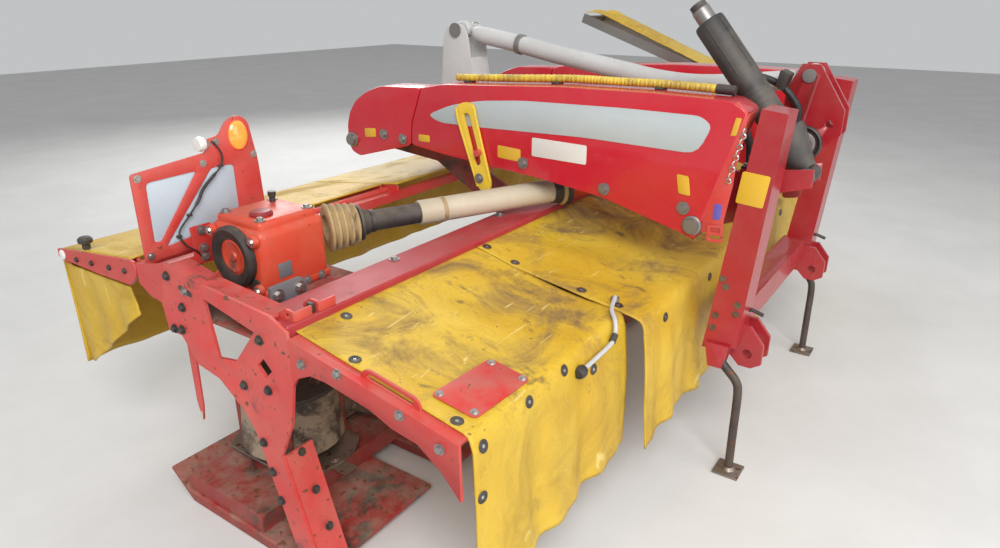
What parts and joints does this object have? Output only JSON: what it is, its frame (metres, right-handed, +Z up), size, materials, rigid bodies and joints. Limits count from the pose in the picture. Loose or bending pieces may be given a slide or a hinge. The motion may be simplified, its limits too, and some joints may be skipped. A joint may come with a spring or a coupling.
{
  "type": "front disc mower",
  "caption": "Wide disc mower for a tractor's front linkage: cutter bar with spinning discs, tarpaulin guards, lifting arms and a hitch frame.",
  "frame": {"origin": "middle of the machine's box, on the ground", "axes": "+Y the way it travels when mowing, +X its right-hand end seen along +Y, +Z up"},
  "size_m": [3.2593, 1.805, 1.3576],
  "materials": {
    "red_paint": "glossy, weathered",
    "cover_red": "glossy",
    "dark_red_paint": "worn, dusty",
    "gearbox_paint": "glossy, dusty",
    "black_rim": "satin",
    "grey_metal": "satin",
    "guard_metal": "dull, zinc coated",
    "disc_steel": "worn, dirty",
    "drum_worn": "worn to metal",
    "tarpaulin": "coated cloth",
    "bellows_plastic": "dusty",
    "shaft_plastic": "dusty",
    "lever_yellow": "glossy",
    "hose_sleeve": "ribbed, dusty",
    "stand_metal": "dull"
  },
  "bodies": {
    "unit": {"main_beam": "dark_red_paint", "end_plate_left": "red_paint", "end_plate_right": "red_paint", "rear_arm_left": "red_paint", "rear_arm_right": "red_paint", "rear_rail": "dark_red_paint", "cutter_bar": "dark_red_paint", "skids": "dark_red_paint", "front_carrier": "dark_red_paint", "link_bracket": "grey_metal", "side_gearbox": "gearbox_paint", "gearbox_covers": "black_rim", "gearbox_shelf": "dark_red_paint", "warning_boards": "red_paint", "rear_cover_left": "tarpaulin", "rear_cover_centre": "tarpaulin", "rear_cover_right": "tarpaulin", "front_rail": "red_paint", "front_cover_centre": "tarpaulin", "centre_gearbox": "gearbox_paint", "shaft_bellows": "bellows_plastic", "cross_shaft": "shaft_plastic"},
    "disc_1": {"disc_1": "disc_steel", "drum_left": "drum_worn"},
    "disc_2": {"disc_2": "disc_steel"},
    "disc_3": {"disc_3": "disc_steel"},
    "disc_4": {"disc_4": "disc_steel"},
    "disc_5": {"disc_5": "disc_steel"},
    "disc_6": {"disc_6": "disc_steel"},
    "disc_7": {"disc_7": "disc_steel", "drum_right": "drum_worn"},
    "flap_left": {"front_frame_left": "red_paint", "front_cover_left": "tarpaulin"},
    "flap_right": {"front_frame_right": "red_paint", "front_cover_right": "tarpaulin"},
    "side_guard": {"side_guard_frame": "guard_metal", "side_guard_tarp": "tarpaulin"},
    "arms": {"arm_beams": "dark_red_paint", "arm_covers": "cover_red", "nose_covers": "cover_red", "lock_lever": "lever_yellow", "sleeved_hose": "hose_sleeve"},
    "upper_link": {"upper_link": "grey_metal"},
    "headstock": {"headstock": "red_paint"},
    "drive_shaft": {"drive_shaft": "shaft_plastic"},
    "stand_left": {"stand_left": "stand_metal"},
    "stand_right": {"stand_right": "stand_metal"}
  },
  "joints": [
    {"name": "disc_1_spin", "type": "hinge", "parent": "unit", "child": "disc_1", "pos_m": [-1.35965, 0.27, 0.1], "axis": [0, 0, 1], "continuous": true},
    {"name": "disc_2_spin", "type": "hinge", "parent": "unit", "child": "disc_2", "pos_m": [-0.94965, 0.27, 0.1], "axis": [0, 0, 1], "continuous": true},
    {"name": "disc_3_spin", "type": "hinge", "parent": "unit", "child": "disc_3", "pos_m": [-0.53965, 0.27, 0.1], "axis": [0, 0, 1], "continuous": true},
    {"name": "disc_4_spin", "type": "hinge", "parent": "unit", "child": "disc_4", "pos_m": [-0.12965, 0.27, 0.1], "axis": [0, 0, 1], "continuous": true},
    {"name": "disc_5_spin", "type": "hinge", "parent": "unit", "child": "disc_5", "pos_m": [0.28035, 0.27, 0.1], "axis": [0, 0, 1], "continuous": true},
    {"name": "disc_6_spin", "type": "hinge", "parent": "unit", "child": "disc_6", "pos_m": [0.69035, 0.27, 0.1], "axis": [0, 0, 1], "continuous": true},
    {"name": "disc_7_spin", "type": "hinge", "parent": "unit", "child": "disc_7", "pos_m": [1.10035, 0.27, 0.1], "axis": [0, 0, 1], "continuous": true},
    {"name": "lift", "type": "hinge", "parent": "unit", "child": "arms", "pos_m": [-0.12965, 0.691, 0.864], "axis": [-1, 0, 0], "range_deg": [0, 12]},
    {"name": "headstock_level", "type": "hinge", "parent": "arms", "child": "headstock", "pos_m": [-0.12965, -0.633, 0.766], "axis": [-1, 0, 0], "range_deg": [-12, 0]},
    {"name": "upper_link_lift", "type": "hinge", "parent": "unit", "child": "upper_link", "pos_m": [-0.12965, 0.535, 1.24], "axis": [-1, 0, 0], "range_deg": [0, 12]},
    {"name": "flap_left_fold", "type": "hinge", "parent": "unit", "child": "flap_left", "pos_m": [-1.12965, 0.495, 0.705], "axis": [1, 0, 0], "range_deg": [0, 80]},
    {"name": "flap_right_fold", "type": "hinge", "parent": "unit", "child": "flap_right", "pos_m": [0.87035, 0.495, 0.705], "axis": [1, 0, 0], "range_deg": [0, 80]},
    {"name": "side_guard_tilt", "type": "hinge", "parent": "unit", "child": "side_guard", "pos_m": [1.39035, -0.53, 0.768], "axis": [1, 0, 0], "range_deg": [-19.4, 45]},
    {"name": "drive_shaft_fold", "type": "hinge", "parent": "headstock", "child": "drive_shaft", "pos_m": [-0.42965, -0.88, 0.905], "axis": [1, 0, 0], "range_deg": [0, 130]},
    {"name": "stand_left_fold", "type": "hinge", "parent": "headstock", "child": "stand_left", "pos_m": [-0.60765, -0.745, 0.372], "axis": [-1, 0, 0], "range_deg": [0, 70]},
    {"name": "stand_right_fold", "type": "hinge", "parent": "headstock", "child": "stand_right", "pos_m": [0.34835, -0.745, 0.372], "axis": [-1, 0, 0], "range_deg": [0, 70]}
  ],
  "couplings": [
    {"joint": "disc_2_spin", "follows": "disc_1_spin", "ratio": -1},
    {"joint": "disc_3_spin", "follows": "disc_1_spin", "ratio": 1},
    {"joint": "disc_4_spin", "follows": "disc_1_spin", "ratio": -1},
    {"joint": "disc_5_spin", "follows": "disc_1_spin", "ratio": 1},
    {"joint": "disc_6_spin", "follows": "disc_1_spin", "ratio": -1},
    {"joint": "disc_7_spin", "follows": "disc_1_spin", "ratio": 1},
    {"joint": "headstock_level", "follows": "lift", "ratio": -1},
    {"joint": "upper_link_lift", "follows": "lift", "ratio": 1}
  ]
}
